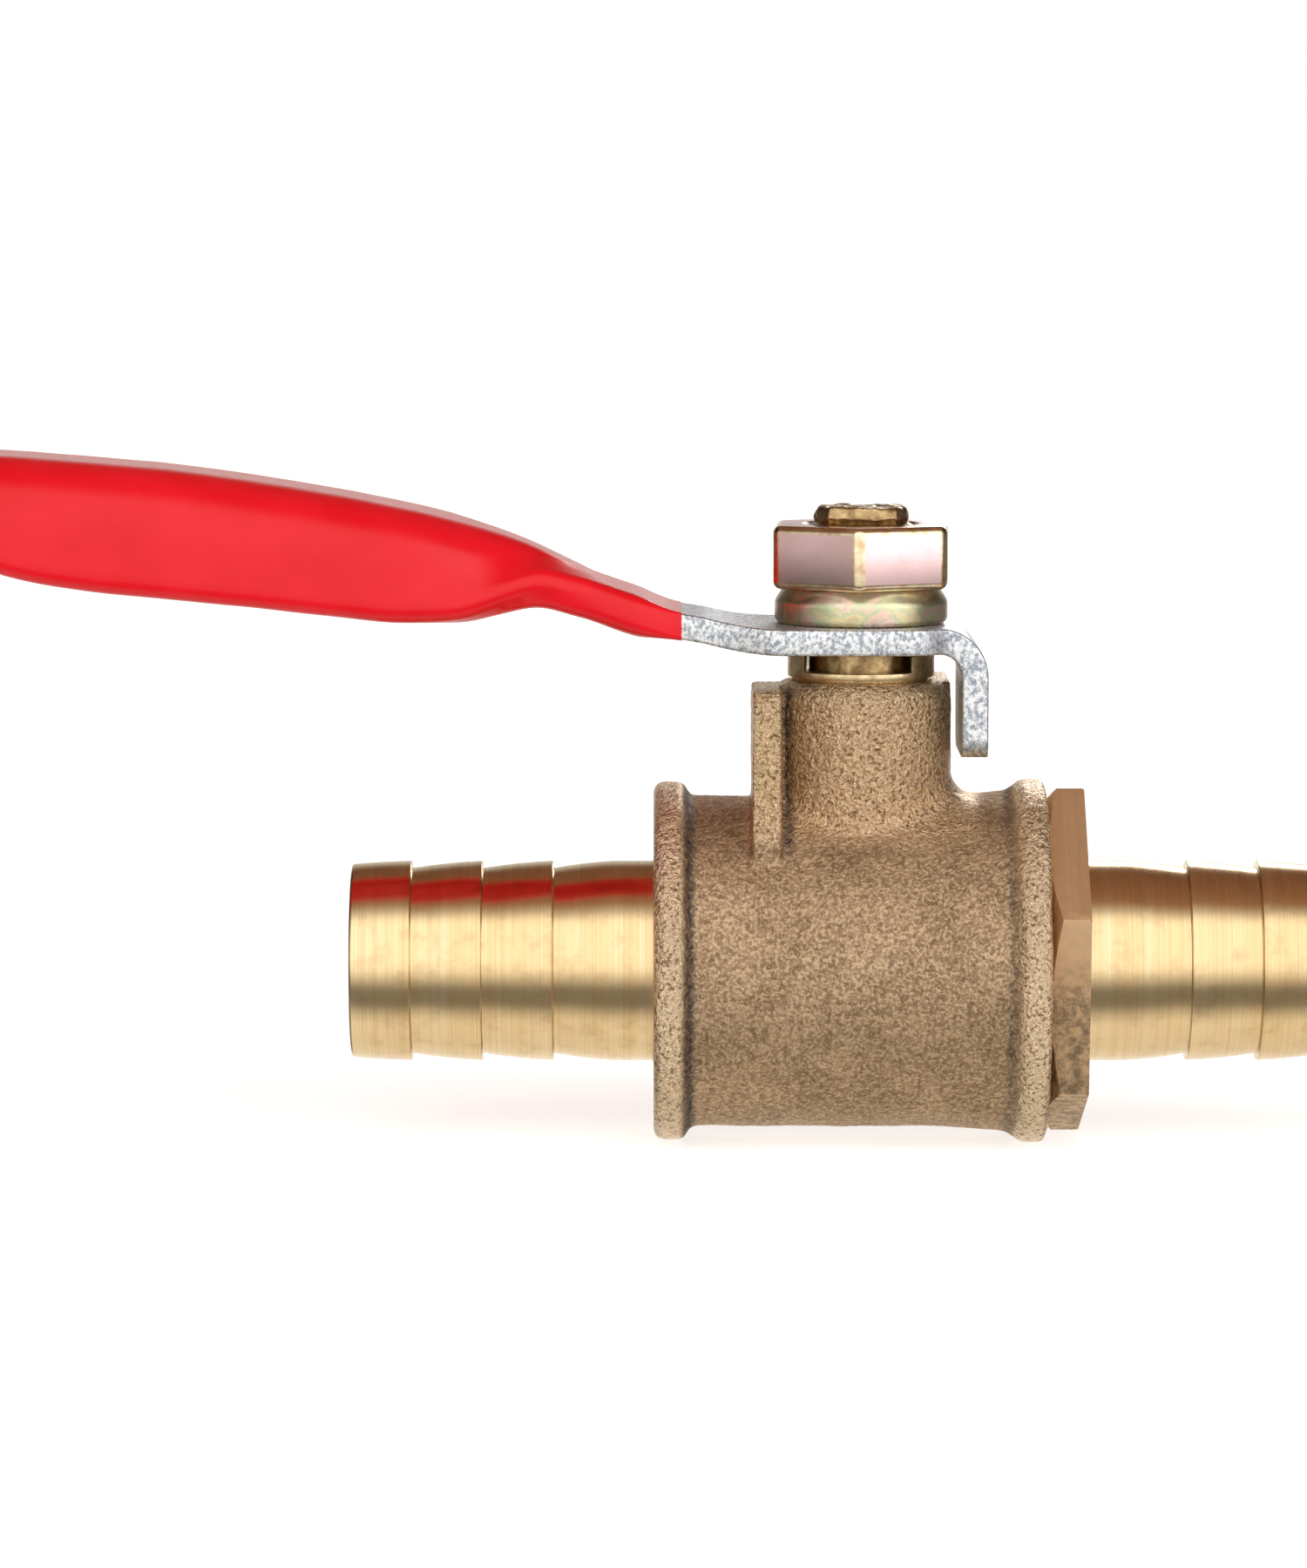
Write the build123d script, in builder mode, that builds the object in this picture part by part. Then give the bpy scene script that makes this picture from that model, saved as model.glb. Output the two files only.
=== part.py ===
from build123d import *
import math
import os

# Lever-operated ball valve with a hose barb at each end, shown open.
# Frame: +X along the pipe towards the outlet, +Z up the stem, origin at the centre of the ball. Millimetres.

os.makedirs("parts", exist_ok=True)

# ---------------------------------------------------------------- driving dimensions
bore_r = 4.0            # flow passage through the barbs, seats and ball
ball_r = 7.0
seat_gap = 0.03         # between the ball and its seats
seat_fit = 0.05         # between the seats and the body's cavity
seat_lip_x = 4.1        # how near the seats reach to the ball's centre
mouth_chamfer = 0.3     # at both ends of the flow passage

barb_crest_r = 5.8      # hose barbs
barb_valley_r = 5.38
barb_tip_r = 5.6
inlet_land = 2.25       # plain cylinder beside each barb's root
outlet_land = 2.5
barb_taper = 3.55       # slope from the land down to the first valley
barb_tooth = 4.1
barb_tip_tooth = 3.5

body_left = -12.0       # body casting
body_right = 10.65
barrel_r = 9.6
left_rim_r = 10.4
right_rim_r = 10.55
rim_width = 1.75
rim_slope = 0.35        # draft at the foot of the left rim
flare_start = 4.5       # the barrel swells gently towards the right rim
flare_end = 8.4
flare_r = 9.9
cavity_r = 7.3
cavity_half = 7.3
thread_r = 8.2          # retainer thread in the body's right end
gasket_width = 0.6

neck_r = 5.2            # neck and its stem bores
neck_top = 16.5
neck_shoulder = 1.3
neck_root_fillet = 1.4
collar_bore_r = 3.8
collar_bore_top = 9.0
packing_floor = 10.2
packing_bore_r = 4.03

rib_outer_x = 6.35      # stop ribs beside the neck
rib_width = 1.65
rib_reach = 7.2
rib_top = 16.3
rib_foot = 4.0          # inside the barrel
rib_corner_r = 1.0
rib_two_outer_x = 5.2

hex_af = 18.0           # retainer
hex_width = 2.2
hex_turn = 40.2
hex_inner_chamfer = 0.6
hex_outer_chamfer = 0.12
retainer_thread_r = 8.15
retainer_spigot_r = 7.2
thread_chamfer = 0.3

stem_r = 3.0            # stem
stem_flats = 4.4
stem_collar_r = 3.7
stem_collar_bottom = 7.15
stem_collar_top = 8.57
stem_top = 26.5
stem_top_chamfer = (0.7, 0.45)    # along the stem, and across it
stem_fit = 0.03         # radial running clearance of the stem in its bores
tang_width = 2.6
tang_length = 6.4
tang_bottom = 5.0
slot_clearance = 0.05

packing_count = 3       # packing and gland
packing_height = 1.0
ring_chamfer = 0.08
gland_thread_r = 4.0
gland_head_r = 4.25
gland_head_bottom = 16.65
gland_top = 18.08
gland_slot_width = 6.2
gland_slot_floor = 17.0
gland_turn = -5.0
gland_chamfer = 0.15

sheet = 1.5             # lever, bent from sheet steel
lever_under = 18.2
hub_half = 6.0
hub_left = -4.5         # the hub is flat and full width from here
hub_right = 3.2         # to here, then narrows to the tab
hub_shoulder = 5.2
hub_corner_r = 1.5
tab_outer_x = 7.18
tab_half = 4.6
tab_bottom = 12.2
tab_bend_r = 2.9
tab_corner_r = 1.0
lever_hole_clearance = 0.05
lever_tip = -55.0
tip_corner_r = 5.9
vinyl = 0.45            # dipped grip
grip_start = -10.4

washer_r = 5.0          # spring washer, split at the back left
washer_top_r = 4.5
washer_bore_r = 3.1
washer_bevel = 0.8
washer_height = 2.1
washer_split = 0.5
washer_split_lean = 0.9

nut_af = 10.0           # lever nut
nut_height = 3.65
nut_turn = -3.0
nut_bore_r = 3.02
nut_chamfer = 0.4
nut_bevel = (0.4, 0.6)  # along the stem at the nut's corners, and across

lever_top = lever_under + sheet
washer_top = lever_top + washer_height
washer_middle = lever_top + washer_height / 2
washer_shoulder = lever_top + washer_height - washer_bevel
nut_bottom = washer_top
nut_top = nut_bottom + nut_height

# Stations along the lever's arm: x, top z, half width, depth over the skirts, outer corner radius.
arm_stations = [
    (-9.0, 20.3, 4.75, 1.5, 0.3),
    (-11.5, 20.75, 4.5, 1.5, 0.3),
    (-14.5, 21.65, 4.4, 1.5, 0.3),
    (-16.5, 22.65, 4.5, 1.9, 0.5),
    (-18.5, 23.65, 4.75, 2.45, 1.0),
    (-20.5, 24.45, 5.2, 3.7, 1.8),
    (-22.5, 25.1, 5.6, 4.75, 2.3),
    (-24.5, 25.65, 5.8, 5.3, 2.6),
    (-27.0, 26.2, 5.95, 5.7, 2.8),
    (-30.0, 26.8, 6.0, 5.95, 3.0),
    (-34.5, 27.55, 6.0, 6.2, 3.0),
    (-39.5, 28.25, 6.0, 6.4, 3.0),
    (-44.5, 28.7, 6.0, 6.35, 3.0),
    (-49.0, 29.05, 6.0, 5.85, 3.0),
    (-52.5, 29.25, 6.0, 4.6, 3.0),
    (-56.5, 29.4, 6.0, 4.3, 3.0),
]
arm_start = arm_stations[0][0]
arm_step = 1.6          # spacing of the sections along the arm
skirt_start = -17.0     # where the arm's edges begin to turn down
arm_start_slope = -0.2  # rise of the hub's curve per millimetre where it meets the arm


# ---------------------------------------------------------------- shared shapes
def barb_profile(root_x, direction, land):
    """Outer profile of a hose barb from its root to its tip, as (x, radius) points."""
    steps = [(0, barb_crest_r), (land, barb_crest_r)]
    reach = land + barb_taper
    for _ in range(2):
        steps += [(reach, barb_valley_r), (reach, barb_crest_r)]
        reach += barb_tooth
    steps += [(reach, barb_valley_r), (reach, barb_crest_r), (reach + barb_tip_tooth, barb_tip_r)]
    return [(root_x + direction * along, radius) for along, radius in steps]


def round_corners(sketch, corners):
    """Rounds the sketch corner nearest to each (x, y) point by its own radius."""
    for x, y, radius in corners:
        fillet(sketch.vertices().sort_by_distance(Vertex(x, y, 0))[0], radius=radius)


def bore_edges(made):
    """The circular edges of the flow passage."""
    return made.edges().filter_by(GeomType.CIRCLE).filter_by(lambda e: abs(e.radius - bore_r) < 0.01)


def ring(bottom, top, inner_r, outer_r):
    """A flat ring about the stem axis, with its edges broken."""
    with BuildPart() as made:
        with BuildSketch(Plane.XY.offset(bottom)):
            Circle(outer_r)
            Circle(inner_r, mode=Mode.SUBTRACT)
        extrude(amount=top - bottom)
        chamfer(made.edges().filter_by(GeomType.CIRCLE), length=ring_chamfer)
    return made


def seat(side):
    """A soft seat ring with a spherical face, on the side of the ball given by -1 or +1."""
    sphere_r = ball_r + seat_gap
    outer_r = cavity_r - seat_fit
    mouth_x = math.sqrt(sphere_r**2 - bore_r**2)
    lip_r = math.sqrt(sphere_r**2 - seat_lip_x**2)
    middle = (math.atan2(bore_r, mouth_x) + math.atan2(lip_r, seat_lip_x)) / 2
    with BuildPart() as made:
        with BuildSketch():
            with BuildLine():
                ThreePointArc(
                    (side * mouth_x, bore_r),
                    (side * sphere_r * math.cos(middle), sphere_r * math.sin(middle)),
                    (side * seat_lip_x, lip_r),
                )
                Polyline(
                    (side * seat_lip_x, lip_r),
                    (side * seat_lip_x, outer_r),
                    (side * cavity_half, outer_r),
                    (side * cavity_half, bore_r),
                    (side * mouth_x, bore_r),
                )
            make_face()
        revolve(axis=Axis.X)
    return made


def arm_slope(place):
    """How each station value changes per millimetre of x at the given station."""
    before = arm_stations[max(place - 1, 0)]
    after = arm_stations[min(place + 1, len(arm_stations) - 1)]
    return [(b - a) / (after[0] - before[0]) for a, b in zip(before, after)]


def arm_at(x):
    """The arm's section at x, from a smooth cubic through the stations: x, top, half, depth, corner."""
    place = max(i for i, station in enumerate(arm_stations[:-1]) if station[0] >= x or i == 0)
    left, right = arm_stations[place], arm_stations[place + 1]
    span = right[0] - left[0]
    t = (x - left[0]) / span
    values = []
    for a, b, slope_a, slope_b in zip(left, right, arm_slope(place), arm_slope(place + 1)):
        blend = 3 * t**2 - 2 * t**3
        values.append(
            a + (b - a) * blend + span * (slope_a * (t - 2 * t**2 + t**3) + slope_b * (t**3 - t**2))
        )
    return values


def arm_solid(grow, drop, start, tip, corner_r):
    """A bar along the arm from start to tip, `grow` larger all round and `drop` deeper, rounded at its tip."""
    runs = math.ceil((start - tip) / arm_step)
    with BuildPart() as made:
        for run in range(runs + 1):
            x = start + (tip - start) * run / runs
            _, top, half, depth, corner = arm_at(x)
            wide = half + grow
            high = top + grow
            low = top - depth - grow - drop
            bend = max(corner + grow, 0.2)
            inset = bend * (1 - math.sqrt(0.5))
            with BuildSketch(Plane.YZ.offset(x)):
                with BuildLine():
                    Polyline((-wide, high - bend), (-wide, low), (wide, low), (wide, high - bend))
                    ThreePointArc((wide, high - bend), (wide - inset, high - inset), (wide - bend, high))
                    Line((wide - bend, high), (bend - wide, high))
                    ThreePointArc((bend - wide, high), (inset - wide, high - inset), (-wide, high - bend))
                make_face()
        loft(ruled=True)
        with BuildSketch() as plan:
            half_plan = hub_half + grow
            with Locations(((start + tip) / 2, 0)):
                Rectangle(start - tip, 2 * half_plan)
            round_corners(plan, [(tip, half_plan, corner_r), (tip, -half_plan, corner_r)])
        extrude(amount=2 * lever_top, mode=Mode.INTERSECT)
    return made.part


def arm_hollow(wall):
    """The space under the arm, between its skirts, left by a wall of the given thickness."""
    return arm_solid(-wall, 2 * wall + 2, skirt_start, lever_tip + wall, tip_corner_r - wall)


# ---------------------------------------------------------------- body casting with the inlet barb
with BuildPart() as body:
    with BuildSketch() as section:
        with BuildLine():
            inlet = barb_profile(body_left, -1, inlet_land)
            Polyline(
                (inlet[-1][0], 0),
                *reversed(inlet),
                (body_left, left_rim_r),
                (body_left + rim_width, left_rim_r),
                (body_left + rim_width + rim_slope, barrel_r),
                (flare_start, barrel_r),
                (flare_end, flare_r),
                (body_right - rim_width + rim_slope, right_rim_r),
                (body_right, right_rim_r),
                (body_right, 0),
                (inlet[-1][0], 0),
            )
        make_face()
        round_corners(
            section,
            [
                (body_left, left_rim_r, 0.6),
                (body_left + rim_width, left_rim_r, 0.5),
                (body_left + rim_width + rim_slope, barrel_r, 0.5),
                (flare_start, barrel_r, 8.0),
                (flare_end, flare_r, 0.8),
                (body_right - rim_width + rim_slope, right_rim_r, 0.6),
                (body_right, right_rim_r, 0.35),
            ],
        )
    revolve(axis=Axis.X)
    with BuildSketch():
        Circle(neck_r)
    extrude(amount=neck_top)
    fillet(body.edges().filter_by(GeomType.BSPLINE), radius=neck_root_fillet)
    neck_rim = body.edges().filter_by(GeomType.CIRCLE).sort_by(Axis.Z)[-1]
    fillet(neck_rim, radius=neck_shoulder)

    # Two stop ribs stand beside the neck: one at the front left, one at the back right.
    for outer_x, way in ((-rib_outer_x, -1), (rib_two_outer_x, 1)):
        with BuildSketch(Plane.YZ.offset(outer_x)) as rib:
            with BuildLine():
                Polyline(
                    (0, rib_foot),
                    (way * rib_reach, rib_foot),
                    (way * rib_reach, rib_top),
                    (0, rib_top),
                    (0, rib_foot),
                )
            make_face()
            round_corners(rib, [(way * rib_reach, rib_top, rib_corner_r)])
        extrude(amount=-way * rib_width)

    # Flow passage, ball cavity and retainer thread.
    with BuildSketch(Plane.YZ.offset(inlet[-1][0])):
        Circle(bore_r)
    extrude(amount=-inlet[-1][0], mode=Mode.SUBTRACT)
    with BuildSketch(Plane.YZ.offset(-cavity_half)):
        Circle(cavity_r)
    extrude(amount=2 * cavity_half, mode=Mode.SUBTRACT)
    with BuildSketch(Plane.YZ.offset(cavity_half)):
        Circle(thread_r)
    extrude(amount=body_right - cavity_half, mode=Mode.SUBTRACT)

    # Stepped bore up the neck: stem collar, stem, then packing and gland thread.
    for radius, top in (
        (collar_bore_r, collar_bore_top),
        (stem_r + stem_fit, packing_floor),
    ):
        with BuildSketch():
            Circle(radius)
        extrude(amount=top, mode=Mode.SUBTRACT)
    with BuildSketch(Plane.XY.offset(packing_floor)):
        Circle(packing_bore_r)
    extrude(amount=neck_top - packing_floor, mode=Mode.SUBTRACT)

    chamfer(bore_edges(body).sort_by(Axis.X)[0], length=mouth_chamfer)

# ---------------------------------------------------------------- retainer with the outlet barb
with BuildPart() as retainer:
    with BuildSketch(Plane.YZ.offset(body_right)):
        RegularPolygon(radius=hex_af / 2, side_count=6, major_radius=False, rotation=hex_turn)
    extrude(amount=hex_width)
    hex_corner_r = hex_af / math.sqrt(3)
    hex_right = body_right + hex_width
    with BuildSketch():
        with BuildLine():
            Polyline(
                (body_right, 0),
                (body_right, hex_af / 2),
                (body_right + hex_inner_chamfer, hex_corner_r),
                (hex_right - hex_outer_chamfer, hex_corner_r),
                (hex_right, hex_corner_r - hex_outer_chamfer),
                (hex_right, 0),
                (body_right, 0),
            )
        make_face()
    revolve(axis=Axis.X, mode=Mode.INTERSECT)
    with BuildSketch():
        with BuildLine():
            outlet = barb_profile(hex_right, 1, outlet_land)
            Polyline(
                (cavity_half, 0),
                (cavity_half, retainer_spigot_r),
                (cavity_half + gasket_width, retainer_spigot_r),
                (cavity_half + gasket_width, retainer_thread_r - thread_chamfer),
                (cavity_half + gasket_width + thread_chamfer, retainer_thread_r),
                (body_right, retainer_thread_r),
                (body_right, barb_crest_r),
                *outlet,
                (outlet[-1][0], 0),
                (cavity_half, 0),
            )
        make_face()
    revolve(axis=Axis.X)
    with BuildSketch(Plane.YZ.offset(cavity_half)):
        Circle(bore_r)
    extrude(amount=outlet[-1][0], mode=Mode.SUBTRACT)
    chamfer(bore_edges(retainer).sort_by(Axis.X)[-1], length=mouth_chamfer)

# Ring that seals the retainer in the body.
with BuildPart() as body_gasket:
    with BuildSketch(Plane.YZ.offset(cavity_half)):
        Circle(retainer_thread_r)
        Circle(cavity_r, mode=Mode.SUBTRACT)
    extrude(amount=gasket_width)

# ---------------------------------------------------------------- ball and seats
with BuildPart() as ball:
    Sphere(ball_r)
    with BuildSketch(Plane.YZ):
        Circle(bore_r)
    extrude(amount=ball_r, both=True, mode=Mode.SUBTRACT)
    with BuildSketch(Plane.XY.offset(tang_bottom - 2 * slot_clearance)):
        Rectangle(tang_width + 2 * slot_clearance, 2 * ball_r)
    extrude(amount=ball_r, mode=Mode.SUBTRACT)

inlet_seat = seat(-1)
outlet_seat = seat(1)

# ---------------------------------------------------------------- stem
with BuildPart() as stem:
    with BuildSketch(Plane.XY.offset(tang_bottom)):
        Circle(tang_length / 2)
        Rectangle(tang_width, tang_length, mode=Mode.INTERSECT)
    extrude(amount=stem_collar_bottom - tang_bottom)
    with BuildSketch(Plane.XY.offset(stem_collar_bottom)):
        Circle(stem_collar_r)
    extrude(amount=stem_collar_top - stem_collar_bottom)
    with BuildSketch(Plane.XY.offset(stem_collar_top)):
        Circle(stem_r)
    extrude(amount=lever_under - stem_collar_top)
    with BuildSketch(Plane.XY.offset(lever_under)):
        Circle(stem_r)
        Rectangle(2 * stem_r, stem_flats, mode=Mode.INTERSECT)
    extrude(amount=stem_top - lever_under)
    stem_end = stem.faces().sort_by(Axis.Z)[-1]
    chamfer(stem_end.edges(), length=stem_top_chamfer[1], length2=stem_top_chamfer[0], reference=stem_end)

thrust_washer = ring(stem_collar_top + stem_fit, collar_bore_top, stem_r + stem_fit, stem_collar_r)

packing_rings = [
    ring(
        packing_floor + place * packing_height,
        packing_floor + (place + 1) * packing_height,
        stem_r + stem_fit,
        gland_thread_r,
    )
    for place in range(packing_count)
]
packing_top = packing_floor + packing_count * packing_height

# ---------------------------------------------------------------- gland nut, slotted for a fork spanner
with BuildPart() as gland_nut:
    with BuildSketch(Plane.XY.offset(packing_top)):
        Circle(gland_thread_r)
    extrude(amount=gland_head_bottom - packing_top)
    with BuildSketch(Plane.XY.offset(gland_head_bottom)):
        Circle(gland_head_r)
    extrude(amount=gland_top - gland_head_bottom)
    chamfer(gland_nut.edges().filter_by(GeomType.CIRCLE).sort_by(Axis.Z)[-1], length=gland_chamfer)
    with BuildSketch(Plane.XY.offset(packing_top)):
        Circle(stem_r + stem_fit)
    extrude(amount=gland_top - packing_top, mode=Mode.SUBTRACT)
    with BuildSketch(Plane.XY.offset(gland_slot_floor)):
        Rectangle(gland_slot_width, 3 * gland_head_r, rotation=gland_turn)
    extrude(amount=gland_top - gland_slot_floor, mode=Mode.SUBTRACT)

# ---------------------------------------------------------------- lever: hub, stop tab and channel arm
hub_rise = arm_stations[0][1] - lever_top
with BuildPart() as lever:
    with BuildSketch(Plane.XZ) as side:
        with BuildLine():
            Spline(
                (hub_left, lever_top),
                (arm_start, lever_top + hub_rise),
                tangents=[(-1, 0), (-1, -arm_start_slope)],
            )
            Line((arm_start, lever_top + hub_rise), (arm_start, lever_under + hub_rise))
            Spline(
                (arm_start, lever_under + hub_rise),
                (hub_left, lever_under),
                tangents=[(1, arm_start_slope), (1, 0)],
            )
            Polyline(
                (hub_left, lever_under),
                (tab_outer_x - sheet, lever_under),
                (tab_outer_x - sheet, tab_bottom),
                (tab_outer_x, tab_bottom),
                (tab_outer_x, lever_top),
                (hub_left, lever_top),
            )
        make_face()
        round_corners(
            side,
            [
                (tab_outer_x, lever_top, tab_bend_r),
                (tab_outer_x - sheet, lever_under, tab_bend_r - sheet),
            ],
        )
    extrude(amount=hub_half, both=True)
    with BuildSketch(Plane.XY.offset(tab_bottom)) as plan:
        with BuildLine():
            Polyline(
                (arm_start, arm_stations[0][2]),
                (hub_left, hub_half),
                (hub_right, hub_half),
                (hub_shoulder, tab_half),
                (tab_outer_x, tab_half),
                (tab_outer_x, -tab_half),
                (hub_shoulder, -tab_half),
                (hub_right, -hub_half),
                (hub_left, -hub_half),
                (arm_start, -arm_stations[0][2]),
                (arm_start, arm_stations[0][2]),
            )
        make_face()
        hub_corners = ((hub_left, hub_half), (hub_right, hub_half), (hub_shoulder, tab_half))
        round_corners(plan, [(x, way * y, hub_corner_r) for way in (1, -1) for x, y in hub_corners])
    extrude(amount=lever_top, mode=Mode.INTERSECT)
    fillet(lever.edges().filter_by(Axis.X).group_by(Axis.Z)[0], radius=tab_corner_r)
    add(arm_solid(0, 0, arm_start, lever_tip, tip_corner_r))
    add(arm_hollow(sheet), mode=Mode.SUBTRACT)
    with BuildSketch(Plane.XY.offset(lever_under - 1)):
        Circle(stem_r + lever_hole_clearance)
        Rectangle(3 * stem_r, stem_flats + 2 * lever_hole_clearance, mode=Mode.INTERSECT)
    extrude(amount=sheet + 2, mode=Mode.SUBTRACT)

# ---------------------------------------------------------------- dipped vinyl grip
with BuildPart() as grip:
    add(arm_solid(vinyl, 0, grip_start, lever_tip - vinyl, tip_corner_r + vinyl))
    add(arm_hollow(sheet + vinyl), mode=Mode.SUBTRACT)
    add(lever.part, mode=Mode.SUBTRACT)

# ---------------------------------------------------------------- spring lock washer and lever nut
with BuildPart() as spring_washer:
    with BuildSketch(Plane.XZ) as section:
        with BuildLine():
            Polyline(
                (washer_bore_r, lever_top),
                (washer_r, lever_top),
                (washer_r, washer_shoulder),
                (washer_top_r, washer_top),
                (washer_bore_r, washer_top),
                (washer_bore_r, lever_top),
            )
        make_face()
        round_corners(
            section,
            [
                (washer_r, lever_top, 0.3),
                (washer_r, washer_shoulder, 0.6),
                (washer_top_r, washer_top, 0.35),
            ],
        )
    revolve(axis=Axis.Z)
    split_lean = (1, 1, washer_split_lean)
    split_plane = Plane(origin=(-stem_r, stem_r, washer_middle), x_dir=(-1, 1, 0), z_dir=split_lean)
    with BuildSketch(split_plane):
        Rectangle(washer_r, 2 * washer_height)
    extrude(amount=washer_split / 2, both=True, mode=Mode.SUBTRACT)

with BuildPart() as lever_nut:
    with BuildSketch(Plane.XY.offset(nut_bottom)):
        RegularPolygon(radius=nut_af / 2, side_count=6, major_radius=False, rotation=nut_turn + 30)
    extrude(amount=nut_height)
    corner_r = nut_af / math.sqrt(3)
    with BuildSketch(Plane.XZ):
        with BuildLine():
            Polyline(
                (0, nut_bottom),
                (corner_r - nut_bevel[1], nut_bottom),
                (corner_r, nut_bottom + nut_bevel[0]),
                (corner_r, nut_top - nut_bevel[0]),
                (corner_r - nut_bevel[1], nut_top),
                (0, nut_top),
                (0, nut_bottom),
            )
        make_face()
    revolve(axis=Axis.Z, mode=Mode.INTERSECT)
    with BuildSketch(Plane.XY.offset(nut_bottom)):
        Circle(nut_bore_r)
    extrude(amount=nut_height, mode=Mode.SUBTRACT)
    circles = lever_nut.edges().filter_by(GeomType.CIRCLE)
    chamfer(circles.filter_by(lambda e: abs(e.radius - nut_bore_r) < 0.01), length=nut_chamfer)

# ---------------------------------------------------------------- export
pieces = {
    "body": body,
    "retainer": retainer,
    "body_gasket": body_gasket,
    "ball": ball,
    "inlet_seat": inlet_seat,
    "outlet_seat": outlet_seat,
    "stem": stem,
    "thrust_washer": thrust_washer,
    "gland_nut": gland_nut,
    "lever": lever,
    "grip": grip,
    "spring_washer": spring_washer,
    "lever_nut": lever_nut,
}
for place, made in zip(("lower", "middle", "upper"), packing_rings):
    pieces[f"packing_ring_{place}"] = made

for name, piece in pieces.items():
    piece.part.label = name
    export_step(piece.part, f"parts/{name}.step")
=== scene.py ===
import math

import bmesh
import bpy
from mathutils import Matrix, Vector, noise


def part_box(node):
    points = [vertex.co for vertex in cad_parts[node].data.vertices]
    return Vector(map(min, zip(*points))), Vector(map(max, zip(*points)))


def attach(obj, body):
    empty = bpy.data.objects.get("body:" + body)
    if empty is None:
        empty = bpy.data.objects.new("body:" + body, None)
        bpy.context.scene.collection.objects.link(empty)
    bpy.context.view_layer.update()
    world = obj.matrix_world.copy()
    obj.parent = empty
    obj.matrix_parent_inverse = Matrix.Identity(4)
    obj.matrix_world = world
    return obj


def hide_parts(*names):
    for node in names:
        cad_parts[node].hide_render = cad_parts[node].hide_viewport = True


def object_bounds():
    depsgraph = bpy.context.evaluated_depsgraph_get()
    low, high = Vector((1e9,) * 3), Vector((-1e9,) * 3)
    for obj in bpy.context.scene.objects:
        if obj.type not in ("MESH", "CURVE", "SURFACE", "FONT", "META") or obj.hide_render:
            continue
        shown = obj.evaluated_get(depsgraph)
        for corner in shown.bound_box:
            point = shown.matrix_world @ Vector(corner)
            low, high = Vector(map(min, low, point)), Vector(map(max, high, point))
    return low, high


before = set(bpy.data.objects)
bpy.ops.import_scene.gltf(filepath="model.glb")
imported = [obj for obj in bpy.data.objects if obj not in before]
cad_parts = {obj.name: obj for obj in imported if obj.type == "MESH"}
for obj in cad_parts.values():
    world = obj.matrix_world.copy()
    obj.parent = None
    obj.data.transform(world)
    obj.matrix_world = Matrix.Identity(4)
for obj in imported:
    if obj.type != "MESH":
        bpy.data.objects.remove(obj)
cad_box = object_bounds()
MM = 0.001

# Row frame: +X along the pipe towards the outlet, +Z up the stem, origin at the ball's centre. Sizes in
# this script are in millimetres unless they are read from the frame, and are scaled when meshes are made.


# ---------------------------------------------------------------- places read from the frame
def low_mm(node):
    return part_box(node)[0] / MM


def high_mm(node):
    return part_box(node)[1] / MM


BODY_RIGHT = high_mm("body").x
OUTLET_TIP = high_mm("retainer").x
NUT_BOTTOM = low_mm("lever_nut").z
NUT_TOP = high_mm("lever_nut").z
WASHER_R = high_mm("spring_washer").x
PLATE_TOP = low_mm("spring_washer").z
TAB_OUTER = high_mm("lever").x
TAB_BOTTOM = low_mm("lever").z
LEVER_TIP = low_mm("lever").x
GRIP_START = high_mm("grip").x
STEM_TOP = high_mm("stem").z
GASKET_LEFT = low_mm("body_gasket").x
GASKET_RIGHT = high_mm("body_gasket").x

# Driving sizes that the node boxes don't give.
BORE_R = 4.0
BODY_LEFT = -12.0
HEX_WIDTH = 2.2
HEX_AF = 18.0
HEX_TURN = 40.2
CREST_R = 5.8
VALLEY_R = 5.38
TIP_R = 5.6
INLET_LAND = 2.25
OUTLET_LAND = 2.5
TAPER = 3.55
TOOTH = 4.1
TIP_TOOTH = 3.5
SHEET = 1.5
VINYL = 0.45
STEM_R = 3.0
NUT_AF = 10.0
NUT_TURN = -93.0
RECESS_R = 7.2
SPIGOT_R = 8.15


# ---------------------------------------------------------------- mesh helpers
def new_object(name, mesh):
    made = bpy.data.objects.new(name, mesh)
    bpy.context.scene.collection.objects.link(made)
    return made


def object_from(name, verts, faces):
    """A mesh object from points in millimetres, with doubles merged and normals outward."""
    mesh = bpy.data.meshes.new(name)
    mesh.from_pydata([tuple(c * MM for c in v) for v in verts], [], faces)
    tidy(mesh)
    return new_object(name, mesh)


def tidy(mesh, merge=1e-6):
    work = bmesh.new()
    work.from_mesh(mesh)
    bmesh.ops.remove_doubles(work, verts=work.verts, dist=merge)
    bmesh.ops.dissolve_degenerate(work, edges=work.edges, dist=merge * 0.5)
    bmesh.ops.recalc_face_normals(work, faces=work.faces)
    work.to_mesh(mesh)
    work.free()


def apply_modifiers(obj):
    """Makes the object's evaluated shape its own mesh."""
    graph = bpy.context.evaluated_depsgraph_get()
    graph.update()
    mesh = bpy.data.meshes.new_from_object(obj.evaluated_get(graph), depsgraph=graph)
    obj.modifiers.clear()
    obj.data = mesh
    return obj


def modifier(obj, kind, **settings):
    made = obj.modifiers.new(kind.lower(), kind)
    for key, value in settings.items():
        setattr(made, key, value)
    return apply_modifiers(obj)


def keep_inside(obj):
    """Pulls the few vertices that pass the CAD part's overall box back onto it."""
    low, high = cad_box
    for vertex in obj.data.vertices:
        for axis in range(3):
            vertex.co[axis] = min(max(vertex.co[axis], low[axis]), high[axis])


def boolean(obj, other, operation):
    """Cuts, joins or intersects obj with other, which is then removed."""
    modifier(obj, "BOOLEAN", object=other, operation=operation, solver="EXACT")
    bpy.data.objects.remove(other)
    return obj


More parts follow.
